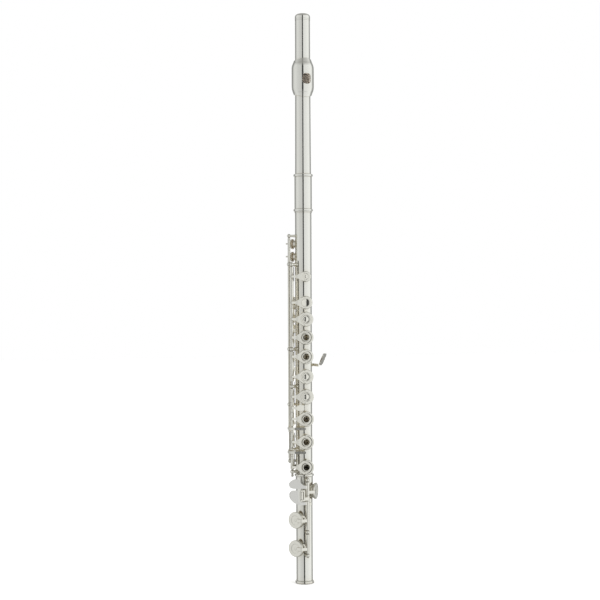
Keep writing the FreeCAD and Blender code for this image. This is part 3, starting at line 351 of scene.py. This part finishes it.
def paint_keys():
    """Four slightly different tones in turn, so that neighbouring keys stand apart."""
    for number, name in enumerate(named("key_") + ["clutch_collars", "roller_c"]):
        tone = dimmed(KEY_PLATE, 0.985 + 0.01 * (number % 4))
        rough = 0.24 if name in SATIN_KEYS else 0.085
        # a key clear of the tube gets less painted shade under it
        under_shade = 0.1 if name in CLEAR_OF_TUBE else 0.5
        # keys on that list get painted shade on their touches
        touch_shade = name in SHADED_TOUCH_KEYS
        look = silver("plate_" + name, tone, rough, KEY_GRAIN, number * 1.7, under_shade=under_shade, touch_shade=touch_shade)
        paint([name], look)


def paint_posts():
    for number, name in enumerate(sorted(named("posts_") + ["rib_main"])):
        paint([name], silver("plate_" + name, KEY_PLATE, 0.1, POST_GRAIN, 30.0 + number))


def paint_steel():
    for number, name in enumerate(named("rod_")):
        paint([name], steel("steel_" + name, ROD_STEEL, 0.2, number * 2.1))
    paint(["cork_screw", "cork_washer"], steel("steel_cork", SCREW_STEEL, 0.24, 17.0))
    paint(["springs_body", "springs_foot"], steel("steel_blued", BLUED_STEEL, 0.28, 23.0))


paint_tubes()
paint_keys()
paint_posts()
paint_steel()
paint(["cork"], cork_bark())

# ---------------------------------------------------------------- turned shapes

AROUND = 72


def ring_at(bm, r, z, waves, limit):
    """One ring of vertices, or a single one on the axis; the waves never reach past the limit."""
    ring = []
    for k in range(1 if r == 0.0 else AROUND):
        t = 2 * math.pi * k / AROUND
        sway = 1.0 + sum(share * math.sin(lobes * t + phase) for share, lobes, phase in waves)
        reach = min(r * sway, limit)
        ring.append(bm.verts.new((reach * math.cos(t), reach * math.sin(t), z)))
    return ring


def turned(name, profile, waves=(), closed=False):
    """Spin a (radius, height) profile about z. Waves are (share of radius, lobes, phase)."""
    limit = max(r for r, _ in profile)
    bm = bmesh.new()
    rings = [ring_at(bm, r, z, waves, limit) for r, z in profile]
    pairs = list(zip(rings, rings[1:]))
    if closed:
        pairs.append((rings[-1], rings[0]))
    for a, b in pairs:
        for k in range(AROUND):
            m = (k + 1) % AROUND
            corners = [a[k % len(a)], a[m % len(a)], b[m % len(b)], b[k % len(b)]]
            bm.faces.new(list(dict.fromkeys(corners)))
    bmesh.ops.recalc_face_normals(bm, faces=bm.faces)
    mesh = bpy.data.meshes.new(name)
    bm.to_mesh(mesh)
    bm.free()
    for p in mesh.polygons:
        p.use_smooth = True
    obj = bpy.data.objects.new(name, mesh)
    bpy.context.scene.collection.objects.link(obj)
    return obj


# ---------------------------------------------------------------- pads and the centres of closed cups

PAD_DEPTH = 1.7 * MM
PAD_INSIDE_CUP = 0.85 * MM
PAD_HOLE = 4.2 * MM
PAD_BULGE = 0.6 * MM
PAD_WAVES = ((0.0035, 3, 0.7), (0.002, 7, 0.0))
SEAT_OUT = 0.4 * MM
# the ring a tone hole has pressed in its pad, in mm: distance from the ring's middle, depth
SEAT_RING = ((-0.6, 0.02), (-0.3, 0.14), (0.0, 0.20), (0.3, 0.14), (0.6, 0.03))

DOME_RADIUS = 2.8 * MM
DOME_RISE = 0.45 * MM
DOME_FOOT = 2.6 * MM
# the raised ring round the dome, in mm, in a closed cup's own frame: radius, height over the tone hole
DOME_RING = ((0.0, 2.5), (4.7, 2.5), (4.55, 2.68), (4.3, 2.77), (4.0, 2.72), (3.6, 2.6))

FACE_R = 12.22 * MM
# rod line: distance from the tube's axis, angle round it, and how far its open keys swing, in degrees
ROD_LINES = {
    "main": (17.2 * MM, -68.0, -8.8), "thumb": (15.6 * MM, -176.0, -9.0), "foot": (14.8 * MM, 1.5, 10.5),
}

# name: (body, angle round the tube, heights, cup radius, tone hole radius, finger hole, rod line if open)
PADS = {
    "pad_c_sharp": ("c_sharp_key", 0.0, [0.3615], 0.0062, 0.0036, False, "main"),
    "pad_b_flat": ("b_flat_key", 0.0, [0.3115], 0.0087, 0.0065, False, "main"),
    "pad_a": ("a_key", 0.0, [0.2902], 0.0087, 0.0065, True, "main"),
    "pad_g": ("g_key", 0.0, [0.2676, 0.2441], 0.0087, 0.0065, True, "main"),
    "pad_f_sharp": ("f_sharp_key", 0.0, [0.2206], 0.0090, 0.0068, False, "main"),
    "pad_f": ("f_key", 0.0, [0.1946], 0.0090, 0.0068, True, "main"),
    "pad_e": ("e_key", 0.0, [0.1676], 0.0090, 0.0068, True, "main"),
    "pad_d": ("d_key", 0.0, [0.1381], 0.0090, 0.0068, True, "main"),
    "pad_thumb": ("thumb_key", -135.0, [0.3300], 0.0080, 0.0059, False, "thumb"),
    "pad_g_sharp": ("g_sharp_key", 178.0, [0.2470], 0.0081, 0.0061, False, None),
    "pad_trill_d": ("d_trill_key", -122.0, [0.3852], 0.0061, 0.0039, False, None),
    "pad_trill_d_sharp": ("d_sharp_trill_key", -122.0, [0.4003], 0.0061, 0.0039, False, None),
    "pad_foot_d_sharp": ("foot_d_sharp_key", 62.0, [0.1089], 0.0099, 0.0077, False, None),
    "pad_foot_c_sharp": ("foot_c_sharp_key", -58.0, [0.0757], 0.0099, 0.0077, False, "foot"),
    "pad_foot_c": ("foot_c_key", -58.0, [0.0424], 0.0099, 0.0077, False, "foot"),
}
# cups with a turned centre: (pad, which of its cups), and the key that carries it
TURNED_CENTRES = {
    ("pad_b_flat", 0): "key_b_flat", ("pad_g", 1): "key_g", ("pad_f_sharp", 0): "key_f_sharp",
}


def pad_profile(hole, outer, seat):
    """Half a pad's section: face at 0, the ring pressed in it, rounded rim and flat back."""
    if hole > 0.0:
        profile = [(hole, PAD_DEPTH), (hole, 0.3 * MM), (hole + 0.2 * MM, 0.06 * MM)]
    else:
        profile = [(0.0, 0.0)]
    profile.append((hole * 0.3 + seat * 0.7 - 0.9 * MM, 0.01 * MM))
    profile += [(seat + away * MM, depth * MM) for away, depth in SEAT_RING]
    steps = 5
    for i in range(steps + 1):
        a = math.pi / 2 * i / steps
        rim = outer - PAD_BULGE + PAD_BULGE * math.sin(a)
        profile.append((rim, PAD_BULGE - PAD_BULGE * math.cos(a)))
    profile += [(outer, PAD_DEPTH - 0.2 * MM), (outer - 0.2 * MM, PAD_DEPTH)]
    if hole <= 0.0:
        profile.append((0.0, PAD_DEPTH))
    return profile


def medallion(name):
    """The turned centre of a closed cup: a low dome in a raised ring, its back sunk in the cup's floor."""
    profile = [(r * MM, z * MM) for r, z in DOME_RING]
    steps = 10
    for i in range(steps + 1):
        r = DOME_RADIUS * (1.0 - i / steps)
        profile.append((r, DOME_FOOT + DOME_RISE * (1.0 - (r / DOME_RADIUS) ** 2)))
    return turned(name, profile)


def direction(phi):
    """Outward from the tube's axis, at an angle from the front."""
    a = math.radians(phi)
    return Vector((math.sin(a), -math.cos(a), 0.0))


def on_tone_hole(phi, z):
    """Placement of a closed cup: its own z points out of the tone hole."""
    outward = direction(phi)
    side = Vector((0.0, 0.0, 1.0))
    place = Matrix((outward.cross(side), side, outward)).transposed().to_4x4()
    place.translation = outward * FACE_R + Vector((0.0, 0.0, z))
    if place.to_3x3().determinant() < 0:
        place = place @ Matrix.Scale(-1.0, 4, Vector((1.0, 0.0, 0.0)))
    return place


def swung(place, line):
    """The same placement, swung about a rod to where the open key rests."""
    r, at, swing = ROD_LINES[line]
    centre = direction(at) * r
    turn = Matrix.Rotation(math.radians(swing), 4, "Z")
    return Matrix.Translation(centre) @ turn @ Matrix.Translation(-centre) @ place


def make_pad(name, body, profile, skin, place):
    """A felt pad that stands for a CAD pad."""
    holed = profile[0][0] > 0.0
    pad = turned(name, profile, PAD_WAVES, closed=holed)
    pad.data.materials.append(skin)
    pad.data.transform(place)
    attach(pad, body)
    return pad


def make_centre(name, body, key, place):
    """The turned centre of a closed cup, in the metal of its key."""
    centre = medallion(name)
    centre.data.materials.append(NODES[key].data.materials[0])
    centre.data.transform(place)
    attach(centre, body)


def make_pads():
    skin = felt_skin()
    for name, (body, phi, heights, cup, hole, fingered, line) in PADS.items():
        for i, z in enumerate(heights):
            place = on_tone_hole(phi, z)
            if line is not None:
                place = swung(place, line)
            centre_hole = PAD_HOLE if fingered and i == 0 else 0.0
            profile = pad_profile(centre_hole, cup - PAD_INSIDE_CUP, hole + SEAT_OUT)
            pad = make_pad(f"felt_{name[4:]}_{i}", body, profile, skin, place)
            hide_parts(name)
            if (name, i) in TURNED_CENTRES:
                make_centre(f"medallion_{name[4:]}", body, TURNED_CENTRES[name, i], place)


make_pads()

# ---------------------------------------------------------------- floor, light and camera

CAMERA_AZIMUTH = -14.0
CAMERA_DISTANCE = 1.5645
CAMERA_LENS = 79.4
CAMERA_ROLL = math.radians(0.23)
AIM_HEIGHT = 0.334
AIM_LEFT = 0.0042
FLOOR_HALF = 6.0
FLOOR_GAP = 0.2 * MM
FLOOR_WHITE = (0.93, 0.93, 0.92)

# the room's level, by degrees right of the camera: two broad panels with a dark slit between them, dim sides
# and a light back
ROOM = [
    (-178.0, 1.0), (-158.0, 0.95), (-150.0, 0.31), (-118.0, 0.34), (-106.0, 0.70), (-80.0, 0.78),
    (-48.0, 0.68), (-9.0, 0.61), (-7.0, 0.04), (7.0, 0.04), (9.0, 0.80), (48.0, 0.88), (90.0, 0.97),
    (106.0, 0.90), (118.0, 0.38), (150.0, 0.34), (158.0, 0.95), (178.0, 1.0),
]
ROOM_BLUE = 0.985
CEILING = (0.34, 0.335, 0.32)
CEILING_STEEPNESS = (0.50, 0.90)
WHITE = (1.0, 1.0, 1.0)
DOME_LIGHT = 1.2

LAMP_PLACE = (1.3, -1.2, 1.2)
LAMP_AIM = (0.0, 0.0, 0.3)
LAMP_SIZE = (1.0, 1.4)


def floor():
    mesh = bpy.data.meshes.new("floor")
    s = FLOOR_HALF
    z = CAD_BOX[0][2] - FLOOR_GAP
    mesh.from_pydata([(-s, -s, z), (s, -s, z), (s, s, z), (-s, s, z)], [], [(0, 1, 2, 3)])
    obj = bpy.data.objects.new("floor", mesh)
    bpy.context.scene.collection.objects.link(obj)
    mat = bpy.data.materials.new("floor_white")
    mat.use_nodes = True
    inputs = mat.node_tree.nodes["Principled BSDF"].inputs
    inputs["Base Color"].default_value = (*FLOOR_WHITE, 1.0)
    inputs["Roughness"].default_value = 0.9
    inputs["Specular IOR Level"].default_value = 0.1
    mesh.materials.append(mat)
    obj.visible_glossy = False


def backdrop(t, colour, strength=1.0):
    light = t.node("ShaderNodeBackground")
    t.fill(light.inputs["Color"], colour)
    light.inputs["Strength"].default_value = strength
    return light.outputs["Background"]


def chosen(t, ray_kind, otherwise, then):
    """One background for a kind of ray, another for the rest."""
    mixer = t.node("ShaderNodeMixShader")
    t.link(ray_kind, mixer.inputs["Fac"])
    t.link(otherwise, mixer.inputs[1])
    t.link(then, mixer.inputs[2])
    return mixer.outputs["Shader"]


def room_level(t):
    """What the metal reflects: the room's panels, and a dim floor and ceiling."""
    turn = t.node("ShaderNodeMapping")
    turn.inputs["Rotation"].default_value = (0.0, 0.0, math.radians(-CAMERA_AZIMUTH))
    t.link(t.node("ShaderNodeTexCoord").outputs["Generated"], turn.inputs["Vector"])
    axes = t.axes(turn.outputs["Vector"])
    angle = t.math("ARCTAN2", axes["X"], t.math("MULTIPLY", axes["Y"], -1.0))
    place = t.span(angle, -math.pi, math.pi, 0.0, 1.0)
    walls = t.ramp(place, [(0.5 + at / 360.0, (level, level, level * ROOM_BLUE)) for at, level in ROOM])
    return t.mix(t.span(t.math("ABSOLUTE", axes["Z"]), *CEILING_STEEPNESS, 0.0, 1.0), walls, CEILING)


def studio():
    """White to the camera, an even dome to diffuse light, and the room to reflections."""
    world = bpy.data.worlds.new("studio")
    world.use_nodes = True
    world.node_tree.nodes.clear()
    t = Tree(world.node_tree)
    rays = t.node("ShaderNodeLightPath").outputs
    lit = chosen(t, rays["Is Diffuse Ray"], backdrop(t, room_level(t)), backdrop(t, WHITE, DOME_LIGHT))
    shown = chosen(t, rays["Is Camera Ray"], lit, backdrop(t, WHITE))
    t.link(shown, t.node("ShaderNodeOutputWorld").inputs["Surface"])
    bpy.context.scene.world = world


def soft_lamp(name, side, power):
    """A broad panel lamp in front of the flute: side is -1 for left, 1 for right."""
    data = bpy.data.lights.new(name, "AREA")
    data.shape = "RECTANGLE"
    data.size, data.size_y = LAMP_SIZE
    data.energy = power
    x, y, z = LAMP_PLACE
    place = Vector((side * x, y, z))
    obj = bpy.data.objects.new(name, data)
    obj.location = place
    obj.rotation_euler = (Vector(LAMP_AIM) - place).to_track_quat("-Z", "Y").to_euler()
    obj.visible_glossy = False
    bpy.context.scene.collection.objects.link(obj)


def camera():
    a = math.radians(CAMERA_AZIMUTH)
    back = Vector((math.sin(a), -math.cos(a), 0.0))
    right = Vector((math.cos(a), math.sin(a), 0.0))
    aim = Vector((0.0, 0.0, AIM_HEIGHT)) - right * AIM_LEFT
    data = bpy.data.cameras.new("camera")
    data.lens = CAMERA_LENS
    data.sensor_width = 36.0
    data.clip_end = 20.0
    obj = bpy.data.objects.new("camera", data)
    upright = Matrix((right, Vector((0.0, 0.0, 1.0)), back)).transposed()
    turn = (upright @ Matrix.Rotation(-CAMERA_ROLL, 3, "Z")).to_4x4()
    obj.matrix_world = Matrix.Translation(aim + back * CAMERA_DISTANCE) @ turn
    bpy.context.scene.collection.objects.link(obj)
    bpy.context.scene.camera = obj


floor()
studio()
soft_lamp("lamp_left", -1.0, 10.0)
soft_lamp("lamp_right", 1.0, 14.0)
camera()
bpy.context.scene.view_settings.view_transform = "Standard"
